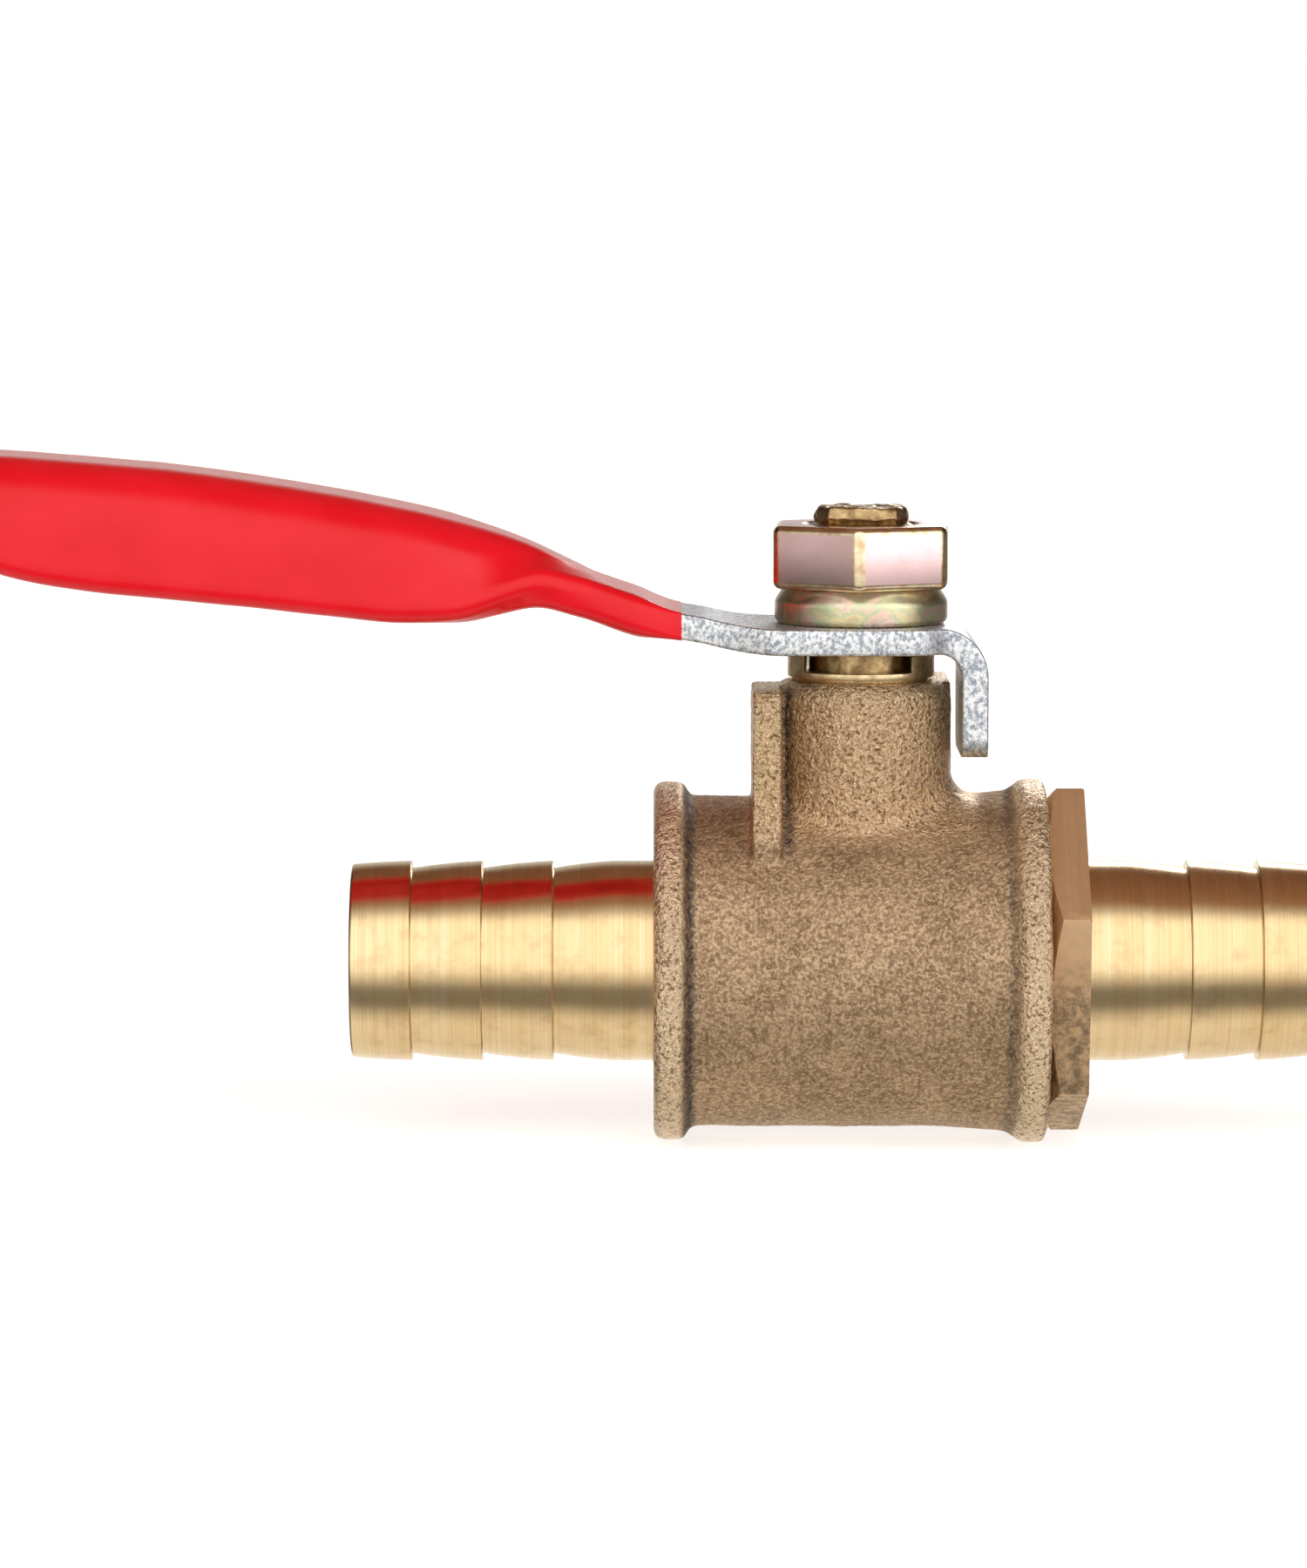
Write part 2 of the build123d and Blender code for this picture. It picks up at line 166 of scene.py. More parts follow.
def smooth_by_angle(obj, degrees=32):
    mesh = obj.data
    mesh.polygons.foreach_set("use_smooth", [True] * len(mesh.polygons))
    mesh.set_sharp_from_angle(angle=math.radians(degrees))
    mesh.update()
    return obj


def smoothstep(a, b, x):
    t = min(max((x - a) / (b - a), 0.0), 1.0)
    return t * t * (3 - 2 * t)


def rounded(points, radii, steps=4):
    """A 2-D outline with the corners named in radii (by their index) rounded by arcs."""
    made = []
    count = len(points)
    for i, point in enumerate(points):
        radius = radii.get(i, 0.0)
        if radius <= 0:
            made.append(point)
            continue
        here = Vector(point)
        back = Vector(points[i - 1]) - here
        ahead = Vector(points[(i + 1) % count]) - here
        half_turn = back.angle(ahead) / 2
        reach = min(radius / math.tan(half_turn), 0.49 * back.length, 0.49 * ahead.length)
        radius = reach * math.tan(half_turn)
        centre = here + (back.normalized() + ahead.normalized()).normalized() * (radius / math.sin(half_turn))
        a = here + back.normalized() * reach - centre
        b = here + ahead.normalized() * reach - centre
        sweep = math.atan2(a.x * b.y - a.y * b.x, a.dot(b))
        for k in range(steps + 1):
            turn = sweep * k / steps
            c, s = math.cos(turn), math.sin(turn)
            made.append((centre.x + a.x * c - a.y * s, centre.y + a.x * s + a.y * c))
    return made


def lathe(name, outline, axis="X", segments=160, start=0.0, sweep=360.0):
    """Turns a closed outline of (along, radius) points about the X or Z axis."""
    full = sweep >= 360.0
    rings = segments if full else segments + 1
    verts, faces = [], []
    for i in range(rings):
        angle = math.radians(start + sweep * i / segments)
        for along, radius in outline:
            c, s = radius * math.cos(angle), radius * math.sin(angle)
            verts.append((along, c, s) if axis == "X" else (c, s, along))
    size = len(outline)
    for i in range(segments):
        for k in range(size):
            a, b = i * size + k, i * size + (k + 1) % size
            c, d = ((i + 1) % rings) * size + (k + 1) % size, ((i + 1) % rings) * size + k
            faces.append((a, b, c, d))
    if not full:
        faces.append(tuple(range(size)))
        faces.append(tuple(segments * size + k for k in reversed(range(size))))
    return object_from(name, verts, faces)


def prism(name, outline, low, high, axis="Z"):
    """Extrudes a closed 2-D outline from low to high along X, Y or Z."""
    place = {
        "X": lambda u, v, w: (w, u, v),
        "Y": lambda u, v, w: (u, w, v),
        "Z": lambda u, v, w: (u, v, w),
    }[axis]
    size = len(outline)
    verts = [place(u, v, w) for w in (low, high) for u, v in outline]
    faces = [tuple(range(size)), tuple(range(size, 2 * size))]
    faces += [(k, (k + 1) % size, size + (k + 1) % size, size + k) for k in range(size)]
    return object_from(name, verts, faces)


def hexagon(af, turn):
    corner = af / math.sqrt(3)
    return [
        (corner * math.cos(math.radians(turn + 60 * k)), corner * math.sin(math.radians(turn + 60 * k)))
        for k in range(6)
    ]


def copy_of(node, name):
    made = new_object(name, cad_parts[node].data.copy())
    made.data.materials.clear()
    tidy(made.data, merge=2e-6)
    return made


def displace(obj, offset):
    """Moves each vertex along its normal by offset(point), both in millimetres."""
    mesh = obj.data
    normals = [v.normal.copy() for v in mesh.vertices]
    for v, n in zip(mesh.vertices, normals):
        v.co += n * offset(v.co / MM) * MM
    mesh.update()
    return obj


# ---------------------------------------------------------------- turned barbs and the retainer
def barb_outline(root, way, land):
    """The barb's outer outline from root to tip, as (x, radius) points. Each tooth falls slowly from its
    crest and faster towards the next valley."""
    made = [(0, CREST_R), (land, CREST_R)]
    reach = land
    for run, low in ((TAPER, VALLEY_R), (TOOTH, VALLEY_R), (TOOTH, VALLEY_R), (TIP_TOOTH, TIP_R)):
        for share in (0.25, 0.5, 0.75, 1.0):
            made.append((reach + run * share, CREST_R - (CREST_R - low) * (0.45 * share + 0.55 * share**2)))
        reach += run
        made.append((reach, CREST_R))
    made.pop()
    return [(root + way * x, r) for x, r in made]


# Edge radii of the barb's outline, by the index of the point in barb_outline.
BARB_RADII = {5: 0.06, 6: 0.07, 10: 0.06, 11: 0.07, 15: 0.06, 16: 0.07, 20: 0.18}


def turned_barb(name, root, way, land, inner):
    """A barb with its bore; inner is the list of points that closes the outline at the root end."""
    outer = barb_outline(root, way, land)
    tip = outer[-1][0]
    outline = outer + [(tip, BORE_R + 0.3), (tip - way * 0.3, BORE_R)] + inner
    return lathe(name, rounded(outline, {**BARB_RADII, len(outer): 0.08}))


def make_inlet_barb():
    buried = BODY_LEFT + 0.3
    inner = [(buried, BORE_R), (buried, CREST_R)]
    return smooth_by_angle(turned_barb("inlet_barb", BODY_LEFT, -1, INLET_LAND, inner), 40)


def make_retainer():
    """Hexagon with its chamfered inner side, spigot and barb, joined into one mesh."""
    hex_right = BODY_RIGHT + HEX_WIDTH
    corner = HEX_AF / math.sqrt(3)
    flats = prism("retainer", hexagon(HEX_AF, HEX_TURN), BODY_RIGHT, hex_right, axis="X")
    cone = lathe(
        "cone",
        [
            (BODY_RIGHT, 0.01),
            (BODY_RIGHT, HEX_AF / 2),
            (BODY_RIGHT + 0.6, corner + 0.01),
            (hex_right - 0.12, corner + 0.01),
            (hex_right, corner - 0.12),
            (hex_right, 0.01),
        ],
        segments=240,
    )
    made = boolean(flats, cone, "INTERSECT")
    tidy(made.data)
    modifier(made, "BEVEL", width=0.09 * MM, segments=3, limit_method="ANGLE", angle_limit=math.radians(20))
    inner = [
        (GASKET_LEFT, BORE_R),
        (GASKET_LEFT, RECESS_R),
        (GASKET_RIGHT, RECESS_R),
        (GASKET_RIGHT, SPIGOT_R - 0.3),
        (GASKET_RIGHT + 0.3, SPIGOT_R),
        (BODY_RIGHT + 0.4, SPIGOT_R),
        (BODY_RIGHT + 0.4, CREST_R),
    ]
    barb = turned_barb("barb", hex_right, 1, OUTLET_LAND, inner)
    boolean(made, barb, "UNION")
    bore_ends = (GASKET_LEFT - 1, OUTLET_TIP - 0.3)
    outline = [(bore_ends[0], 0.01), (bore_ends[0], BORE_R), (bore_ends[1], BORE_R), (bore_ends[1], 0.01)]
    hole = lathe("hole", outline)
    boolean(made, hole, "DIFFERENCE")
    return smooth_by_angle(made, 30)


# ---------------------------------------------------------------- body casting
CAST_VOXEL = 0.15
NECK_FOOT = 9.0


def make_casting():
    """The cast body without its barb: the CAD shape remeshed, softened and given a sand-cast surface."""
    made = copy_of("body", "body_casting")
    work = bmesh.new()
    work.from_mesh(made.data)
    cut_x = (BODY_LEFT - 0.05) * MM
    geometry = work.verts[:] + work.edges[:] + work.faces[:]
    bmesh.ops.bisect_plane(work, geom=geometry, plane_co=(cut_x, 0, 0), plane_no=(1, 0, 0), clear_inner=True)
    rim = [e for e in work.edges if e.is_boundary]
    bmesh.ops.bridge_loops(work, edges=rim)
    bmesh.ops.recalc_face_normals(work, faces=work.faces)
    work.to_mesh(made.data)
    work.free()
    modifier(made, "REMESH", mode="VOXEL", voxel_size=CAST_VOXEL * MM)
    modifier(made, "SMOOTH", factor=0.5, iterations=6)

    def cast_skin(p):
        on_barrel = smoothstep(7.9, 8.6, math.hypot(p.y, p.z))
        on_neck = smoothstep(4.1, 4.5, math.hypot(p.x, p.y))
        outside = on_barrel if p.z < NECK_FOOT else on_neck
        machined = smoothstep(BODY_LEFT + 0.25, BODY_LEFT + 0.6, p.x)
        wave = noise.fractal(p * 0.35, 1.0, 2.0, 2)
        grain = noise.fractal(p * 2.3, 0.8, 2.1, 3)
        return outside * machined * (0.05 * wave + 0.028 * grain)

    displace(made, cast_skin)
    keep_inside(made)
    return smooth_by_angle(made, 180)


# ---------------------------------------------------------------- lever and grip
# Stations along the arm: x, top z, half width, corner radius, fold angle in degrees, skirt length, all on the
# steel's outer face. The hub and tab continue the strip to the right.
ARM = [
    (-9.0, 20.3, 4.75, 1.6, 0.0, 1.2),
    (-11.5, 20.75, 4.5, 1.6, 0.0, 1.3),
    (-14.5, 21.65, 4.4, 1.7, 0.0, 1.6),
    (-16.5, 22.65, 4.5, 1.8, 10.0, 2.4),
    (-18.5, 23.65, 4.75, 2.0, 23.0, 2.5),
    (-20.5, 24.45, 5.2, 2.3, 48.0, 2.55),
    (-22.5, 25.1, 5.6, 2.5, 70.0, 2.7),
    (-24.5, 25.65, 5.8, 2.6, 83.0, 2.8),
    (-27.0, 26.2, 5.95, 2.8, 89.0, 2.9),
    (-30.0, 26.8, 6.0, 3.0, 90.0, 2.95),
    (-34.5, 27.55, 6.0, 3.0, 90.0, 3.2),
    (-39.5, 28.25, 6.0, 3.0, 90.0, 3.4),
    (-44.5, 28.7, 6.0, 3.0, 90.0, 3.35),
    (-49.0, 29.05, 6.0, 3.0, 90.0, 2.85),
    (-52.5, 29.25, 6.0, 3.0, 90.0, 1.6),
    (-56.5, 29.4, 6.0, 3.0, 90.0, 1.3),
]
HUB_FLAT_LEFT = -4.5
HUB_HALF = 6.0
TAB_HALF = 4.6
BEND_R = 2.9
PLAN_CORNER = 6.0
BEND_START = TAB_OUTER - BEND_R
BEND_LENGTH = BEND_R * math.pi / 2
TAB_END = BEND_START + BEND_LENGTH + (PLATE_TOP - BEND_R - TAB_BOTTOM)
TAB_CORNER = 1.0
TIP_CENTRE = LEVER_TIP + PLAN_CORNER
TIP_STEPS = 24
RIM_STEPS = 6


def arm_at(x):
    """Station values at x by a smooth cubic through the stations."""
    place = max([i for i, s in enumerate(ARM[:-1]) if s[0] >= x] or [0])
    before, left, right = ARM[max(place - 1, 0)], ARM[place], ARM[place + 1]
    after = ARM[min(place + 2, len(ARM) - 1)]
    span = right[0] - left[0]
    t = min(max((x - left[0]) / span, 0.0), 1.0)
    made = []
    for a, b, c, d in zip(before, left, right, after):
        slope_b = (c - a) / (right[0] - before[0])
        slope_c = (d - b) / (after[0] - left[0])
        blend = 3 * t**2 - 2 * t**3
        made.append(b + (c - b) * blend + span * (slope_b * (t - 2 * t**2 + t**3) + slope_c * (t**3 - t**2)))
    return made


def lever_values(s):
    """Top z, half width, corner radius, fold angle and skirt length at s, which is x on the arm and hub and
    runs on down the bend and the tab past it."""
    if s <= ARM[0][0]:
        _, top, half, radius, fold, skirt = arm_at(s)
        return top, half, max(radius, 0.3), max(fold, 0.0), skirt
    rise = ARM[0][1] - PLATE_TOP
    t = min(max((s - HUB_FLAT_LEFT) / (ARM[0][0] - HUB_FLAT_LEFT), 0.0), 1.0)
    top = PLATE_TOP + rise * t * t
    half = ARM[0][2] + (HUB_HALF - ARM[0][2]) * smoothstep(ARM[0][0], HUB_FLAT_LEFT + 0.3, s)
    half -= (HUB_HALF - TAB_HALF) * smoothstep(2.6, 5.4, s)
    corner = max(0.0, s - (TAB_END - TAB_CORNER))
    half -= TAB_CORNER - math.sqrt(max(TAB_CORNER**2 - corner**2, 0.0))
    return top, half, 1.0, 0.0, 1.2


def section(s, skin):
    """Half of the sheet's section at s, from the centre line out over the top and back underneath, as
    (inset from the edge, drop) points. The sheet is `skin` larger all round."""
    _, half, radius, fold, skirt = lever_values(s)
    turn = math.radians(fold)
    reach = radius * math.sin(turn) + skirt * math.cos(turn)
    flat = half - reach
    line = [(flat * k / 6, 0.0, 0.0) for k in range(7)]
    line += [
        (flat + radius * math.sin(turn * k / 8), radius * (1 - math.cos(turn * k / 8)), turn * k / 8)
        for k in range(1, 9)
    ]
    end_y, end_drop, _ = line[-1]
    line += [
        (end_y + skirt * math.cos(turn) * k / 4, end_drop + skirt * math.sin(turn) * k / 4, turn)
        for k in range(1, 5)
    ]
    outer = [(y + skin * math.sin(a), d - skin * math.cos(a)) for y, d, a in line]
    wall = SHEET + skin
    inner = [(y - wall * math.sin(a), d + wall * math.cos(a)) for y, d, a in reversed(line)]
    # The rim between the two faces: nearly square on bare steel, a full round under vinyl.
    thick = SHEET + 2 * skin
    round_r = min(0.16 + 1.6 * skin, thick / 2)
    y0, d0, a0 = line[-1]
    along = Vector((math.cos(a0), math.sin(a0)))
    out = Vector((math.sin(a0), -math.cos(a0)))
    middle = Vector((y0, d0)) - out * (SHEET / 2)
    rim = []
    for side in (1, -1):
        centre = middle + out * side * (thick / 2 - round_r) + along * (skin - round_r)
        for k in range(RIM_STEPS + 1):
            angle = math.pi / 2 * (1 - k / RIM_STEPS) if side == 1 else -math.pi / 2 * k / RIM_STEPS
            rim.append(tuple(centre + (along * math.cos(angle) + out * math.sin(angle)) * round_r))
    outer[-1] = rim[0]
    inner[0] = rim[-1]
    return [(half - y, d) for y, d in outer + rim[1:-1] + inner]


def lever_point(s, corner, inset, drop):
    """The point at (inset, drop) of the section at s. Past the arm's straight sides, corner runs from 0 to 1
    round the tip's plan."""
    top, half, *_ = lever_values(s)
    if s > BEND_START:
        angle = min((s - BEND_START) / BEND_R, math.pi / 2)
        px = BEND_START + BEND_R * math.sin(angle)
        pz = PLATE_TOP - BEND_R + BEND_R * math.cos(angle) - max(0.0, s - BEND_START - BEND_LENGTH)
        return (px - math.sin(angle) * drop, half - inset, pz - math.cos(angle) * drop)
    if corner <= 0:
        return (s, half - inset, top - drop)
    radius = PLAN_CORNER - inset
    angle = math.pi / 2 * corner
    x = TIP_CENTRE - radius * math.sin(angle)
    return (x, radius * math.cos(angle), lever_values(x)[0] - drop)


def spaced(high, low, gap):
    runs = max(1, math.ceil((high - low) / gap))
    return [high + (low - high) * k / runs for k in range(runs + 1)]


def sheet_mesh(right, skin, close_right):
    """The lever's sheet, `skin` larger all round, from s = right to the arm's tip: its points, faces, points
    per section and points per side."""
    tab_round = TAB_END - TAB_CORNER
    stops = []
    if right > tab_round:
        stops += [(tab_round + TAB_CORNER * math.sin(math.pi / 2 * k / 8), 0.0) for k in range(8, 0, -1)]
        stops += [(s, 0.0) for s in spaced(tab_round, BEND_START, 0.28)[:-1]]
        stops += [(s, 0.0) for s in spaced(BEND_START, ARM[0][0], 0.4)[:-1]]
    stops += [(s, 0.0) for s in spaced(min(right, ARM[0][0]), TIP_CENTRE, 0.35)]
    stops += [(TIP_CENTRE, k / TIP_STEPS) for k in range(1, TIP_STEPS + 1)]
    verts = []
    for s, corner in stops:
        local = skin(s)
        edge = s - PLAN_CORNER * math.sin(math.pi / 2 * corner)
        column = [lever_point(s, corner, inset, drop) for inset, drop in section(edge, local)]
        verts += column
    columns = len(column)
    faces = [
        (i * columns + k, (i + 1) * columns + k, (i + 1) * columns + k + 1, i * columns + k + 1)
        for i in range(len(stops) - 1)
        for k in range(columns - 1)
    ]
    size = len(verts)
    verts += [(x, -y, z) for x, y, z in verts]
    faces += [tuple(size + k for k in reversed(face)) for face in faces]
    if close_right:
        faces.append(tuple(range(columns)) + tuple(size + k for k in reversed(range(columns))))
    return verts, faces, columns, size


def make_lever():
    verts, faces, _, _ = sheet_mesh(TAB_END, lambda s: 0.0, close_right=True)
    made = object_from("lever_sheet", verts, faces)
    flat_half = 2.25
    hole = [
        (3.05 * math.cos(a), max(-flat_half, min(flat_half, 3.05 * math.sin(a))))
        for a in (2 * math.pi * k / 96 for k in range(96))
    ]
    cutter = prism("cutter", hole, PLATE_TOP - SHEET - 1, PLATE_TOP + 1)
    boolean(made, cutter, "DIFFERENCE")
    tidy(made.data)
    modifier(made, "BEVEL", width=0.16 * MM, segments=3, limit_method="ANGLE", angle_limit=math.radians(60))
    return smooth_by_angle(made, 40)


def vinyl_skin(s):
    return 0.06 + (VINYL - 0.06) * smoothstep(0.0, 3.0, GRIP_START - s)


def make_grip():
    """A closed vinyl shell: its outside, its inside on the steel, and the thin edge where the dip ends."""
    outer, faces, columns, size = sheet_mesh(GRIP_START, vinyl_skin, close_right=False)
    inner, inner_faces, _, _ = sheet_mesh(GRIP_START, lambda s: 0.0, close_right=False)
    shift = len(outer)
    verts = outer + inner
    faces += [tuple(shift + k for k in reversed(face)) for face in inner_faces]
    for base, flip in ((0, False), (size, True)):
        for k in range(columns - 1):
            a, b = base + k, base + k + 1
            quad = (a, b, shift + b, shift + a)
            faces.append(tuple(reversed(quad)) if flip else quad)
    made = object_from("grip_vinyl", verts, faces)

    def dipped(p):
        return -0.03 * abs(noise.fractal(p * 0.22, 1.0, 2.0, 2)) * smoothstep(0.0, 3.0, GRIP_START - p.x)

    displace(made, dipped)
    keep_inside(made)
    return smooth_by_angle(made, 60)


# ---------------------------------------------------------------- stem, gland nut, washer and nut
def make_stem():
    """The stem with its driving tang and flats, its upset end and the thread that shows above the nut."""
    made = copy_of("stem", "stem_turned")
    modifier(made, "REMESH", mode="VOXEL", voxel_size=0.11 * MM)
    modifier(made, "SMOOTH", factor=0.5, iterations=3)

    def upset(p):
        end = smoothstep(NUT_TOP - 0.1, NUT_TOP + 0.1, p.z)
        worn = 0.14 * (noise.fractal(p * 0.9, 1.0, 2.0, 3) - 0.4)
        return end * (worn - 0.32 * smoothstep(STEM_TOP - 0.1, NUT_TOP, p.z))

    displace(made, upset)
    return smooth_by_angle(made, 50)


def make_gland_nut():
    made = copy_of("gland_nut", "gland_nut_turned")
    modifier(made, "BEVEL", width=0.08 * MM, segments=2, limit_method="ANGLE", angle_limit=math.radians(35))
    return smooth_by_angle(made, 35)


def make_washer():
    """Split lock washer with rounded outer edges; the split is at the back left."""
    low, high = PLATE_TOP, NUT_BOTTOM
    inner = STEM_R + 0.12
    outline = [(low, inner), (low, WASHER_R), (high - 0.8, WASHER_R), (high, WASHER_R - 0.5), (high, inner)]
    outline = rounded(outline, {0: 0.1, 1: 0.4, 2: 0.7, 3: 0.35, 4: 0.1}, steps=6)
    gap = 3.0
    made = lathe("spring_washer_split", outline, axis="Z", start=135 + gap, sweep=360 - 2 * gap)
    return smooth_by_angle(made, 35)


def make_nut():
    """Hexagon nut with well rounded edges; the rounded edges hold the second material, the worn gold one."""
    made = prism("lever_nut_hex", hexagon(NUT_AF, NUT_TURN), NUT_BOTTOM, NUT_TOP)
    made.data.materials.append(None)
    made.data.materials.append(None)
    modifier(
        made,
        "BEVEL",
        width=0.42 * MM,
        segments=6,
        limit_method="ANGLE",
        angle_limit=math.radians(40),
        material=1,
    )
    reach = STEM_R + 0.02
    outline = [
        (NUT_BOTTOM - 1, 0.01),
        (NUT_BOTTOM - 1, reach + 0.6),
        (NUT_BOTTOM, reach + 0.4),
        (NUT_BOTTOM + 0.4, reach),
        (NUT_TOP - 0.4, reach),
        (NUT_TOP, reach + 0.4),
        (NUT_TOP + 1, reach + 0.6),
        (NUT_TOP + 1, 0.01),
    ]
    boolean(made, lathe("bore", outline, axis="Z", segments=96), "DIFFERENCE")
    return smooth_by_angle(made, 34)


# ---------------------------------------------------------------- material helpers
def new_material(name):
    """A node material with one Principled shader; returns (material, nodes, link, shader)."""
    made = bpy.data.materials.new(name)
    made.use_nodes = True
    nodes = made.node_tree.nodes
    shader = nodes["Principled BSDF"]
    return made, nodes, made.node_tree.links.new, shader


def place_mm(nodes, link):
    """The point on the piece in millimetres in the row frame."""
    coords = nodes.new("ShaderNodeTexCoord")
    scale = nodes.new("ShaderNodeVectorMath")
    scale.operation = "SCALE"
    scale.inputs["Scale"].default_value = 1 / MM
    link(coords.outputs["Object"], scale.inputs[0])
    return scale.outputs["Vector"]


def scaled(nodes, link, vector, factors):
    made = nodes.new("ShaderNodeVectorMath")
    made.operation = "MULTIPLY"
    made.inputs[1].default_value = factors
    link(vector, made.inputs[0])
    return made.outputs["Vector"]


def noise_at(nodes, link, vector, scale, detail=3.0, rough=0.55, distortion=0.0):
    made = nodes.new("ShaderNodeTexNoise")
    made.inputs["Scale"].default_value = scale
    made.inputs["Detail"].default_value = detail
    made.inputs["Roughness"].default_value = rough
    made.inputs["Distortion"].default_value = distortion
    link(vector, made.inputs["Vector"])
    return made.outputs["Fac"]


def mapped(nodes, link, value, low, high, to_low, to_high, smooth=False):
    made = nodes.new("ShaderNodeMapRange")
    made.interpolation_type = "SMOOTHSTEP" if smooth else "LINEAR"
    for key, number in zip(("From Min", "From Max", "To Min", "To Max"), (low, high, to_low, to_high)):
        made.inputs[key].default_value = number
    link(value, made.inputs["Value"])
    return made.outputs["Result"]


def math_node(nodes, link, operation, a, b=None):
    made = nodes.new("ShaderNodeMath")
    made.operation = operation
    for socket, value in zip(made.inputs, (a, b)):
        if isinstance(value, (int, float)):
            socket.default_value = value
        elif value is not None:
            link(value, socket)
    return made.outputs[0]


def mix_colour(nodes, link, factor, a, b, blend="MIX"):
    made = nodes.new("ShaderNodeMix")
    made.data_type = "RGBA"
    made.blend_type = blend
    for name, value in (("Factor", factor), ("A", a), ("B", b)):
        socket = [i for i in made.inputs if i.name == name and (i.type == "RGBA" or name == "Factor")][0]
        if hasattr(value, "is_linked"):
            link(value, socket)
        elif name == "Factor":
            socket.default_value = value
        else:
            socket.default_value = (*value, 1.0)
    return [o for o in made.outputs if o.type == "RGBA"][0]


def ramp_node(nodes, link, value, stops):
    """A colour ramp with stops of (position, colour)."""
    made = nodes.new("ShaderNodeValToRGB")
    elements = made.color_ramp.elements
    while len(elements) < len(stops):
        elements.new(0.5)
    for element, (position, colour) in zip(elements, stops):
        element.position = position
        element.color = (*colour, 1.0)
    link(value, made.inputs["Fac"])
    return made.outputs["Color"]


def bump(nodes, link, shader, height, depth_mm, strength=1.0, previous=None):
    made = nodes.new("ShaderNodeBump")
    made.inputs["Strength"].default_value = strength
    made.inputs["Distance"].default_value = depth_mm * MM
    link(height, made.inputs["Height"])
    if previous is not None:
        link(previous, made.inputs["Normal"])
    link(made.outputs["Normal"], shader.inputs["Normal"])
    return made.outputs["Normal"]


def near_x(nodes, link, x, place, reach):
    """1 at a plane across the pipe, falling to 0 at the given distance from it."""
    offset = math_node(nodes, link, "ABSOLUTE", math_node(nodes, link, "SUBTRACT", x, place))
    return mapped(nodes, link, offset, 0.0, reach, 1.0, 0.0, smooth=True)


def cast_brass():
    """Sand-cast and tumbled brass: brown and grainy, worn bright on the neck and the rims, with painted shade
    darkening the corners beside the rims and, on the front, beside the rib."""
    made, nodes, link, shader = new_material("cast_brass")
    mm = place_mm(nodes, link)
    split = nodes.new("ShaderNodeSeparateXYZ")
    link(mm, split.inputs[0])
    x, y, z = split.outputs
    shader.inputs["Metallic"].default_value = 1.0
    grain = noise_at(nodes, link, mm, 2.6, 4.0, 0.72)
    speck = noise_at(nodes, link, mm, 5.2, 2.0, 0.6)
    patch = noise_at(nodes, link, mm, 0.35, 3.0, 0.5)

    # How worn the skin is: most on the neck and ribs, then on both rims, least on the barrel.
    neck = mapped(nodes, link, z, 7.0, 8.6, 0.0, 1.0, smooth=True)
    across = math_node(nodes, link, "ABSOLUTE", x)
    narrow = mapped(nodes, link, across, 7.2, 6.2, 0.0, 1.0, smooth=True)
    neck = math_node(nodes, link, "MULTIPLY", neck, narrow)
    rims = mapped(nodes, link, x, -10.6, -10.2, 1.0, 0.0, smooth=True)
    rims = math_node(nodes, link, "MAXIMUM", rims, mapped(nodes, link, x, 8.6, 9.0, 0.0, 1.0, smooth=True))
    worn = math_node(nodes, link, "MAXIMUM", neck, rims)

    mottle = mapped(nodes, link, patch, 0.35, 0.65, 0, 1)
    tone = mix_colour(nodes, link, mottle, (0.44, 0.305, 0.19), (0.56, 0.40, 0.26))
    low = mapped(nodes, link, grain, 0.36, 0.56, 0.58, 0.0)
    tone = mix_colour(nodes, link, low, tone, (0.16, 0.09, 0.045))
    glint = mapped(nodes, link, speck, 0.50, 0.60, 0.0, 1.0)
    glint = math_node(nodes, link, "MULTIPLY", glint, mapped(nodes, link, worn, 0.0, 1.0, 0.30, 1.0))
    tone = mix_colour(nodes, link, glint, tone, (1.0, 0.80, 0.54))
    tone = mix_colour(nodes, link, math_node(nodes, link, "MULTIPLY", worn, 0.65), tone, (1.0, 0.73, 0.46))
    tone = mix_colour(nodes, link, math_node(nodes, link, "MULTIPLY", rims, 0.75), tone, (1.0, 0.79, 0.56))
    pits = mapped(nodes, link, noise_at(nodes, link, mm, 4.4, 3.0, 0.7), 0.39, 0.475, 0.84, 0.0)
    tone = mix_colour(nodes, link, math_node(nodes, link, "MULTIPLY", pits, worn), tone, (0.21, 0.105, 0.04))
    # Painted shade: the inner corners beside both rims, and the front of the neck beside the rib, are
    # darkened towards near black.
    corner_shade = near_x(nodes, link, x, -9.95, 0.5)
    right_corner_shade = math_node(nodes, link, "MULTIPLY", near_x(nodes, link, x, 8.35, 0.4), 0.5)
    corner_shade = math_node(nodes, link, "MAXIMUM", corner_shade, right_corner_shade)
    above = mapped(nodes, link, z, 6.6, 7.6, 0, 1)
    beside = math_node(nodes, link, "MULTIPLY", near_x(nodes, link, x, -4.3, 0.6), above)
    front = mapped(nodes, link, y, -1.5, -2.5, 0.0, 1.0)
    corner_shade = math_node(nodes, link, "MAXIMUM", corner_shade, math_node(nodes, link, "MULTIPLY", beside, front))
    corner_shade = math_node(nodes, link, "MULTIPLY", corner_shade, mapped(nodes, link, grain, 0.35, 0.6, 1.0, 0.45))
    tone = mix_colour(nodes, link, corner_shade, tone, (0.055, 0.058, 0.07))
    link(tone, shader.inputs["Base Color"])
    matt = mapped(nodes, link, worn, 0.0, 1.0, 0.60, 0.27)
    uneven = mapped(nodes, link, speck, 0.3, 0.7, 0.06, -0.06)
    link(math_node(nodes, link, "ADD", matt, uneven), shader.inputs["Roughness"])
    rough_skin = math_node(nodes, link, "MULTIPLY", grain, mapped(nodes, link, worn, 0.0, 1.0, 0.4, 1.3))
    first = bump(nodes, link, shader, rough_skin, 0.2, 1.0)
    bump(nodes, link, shader, speck, 0.07, 0.6, previous=first)
    return made


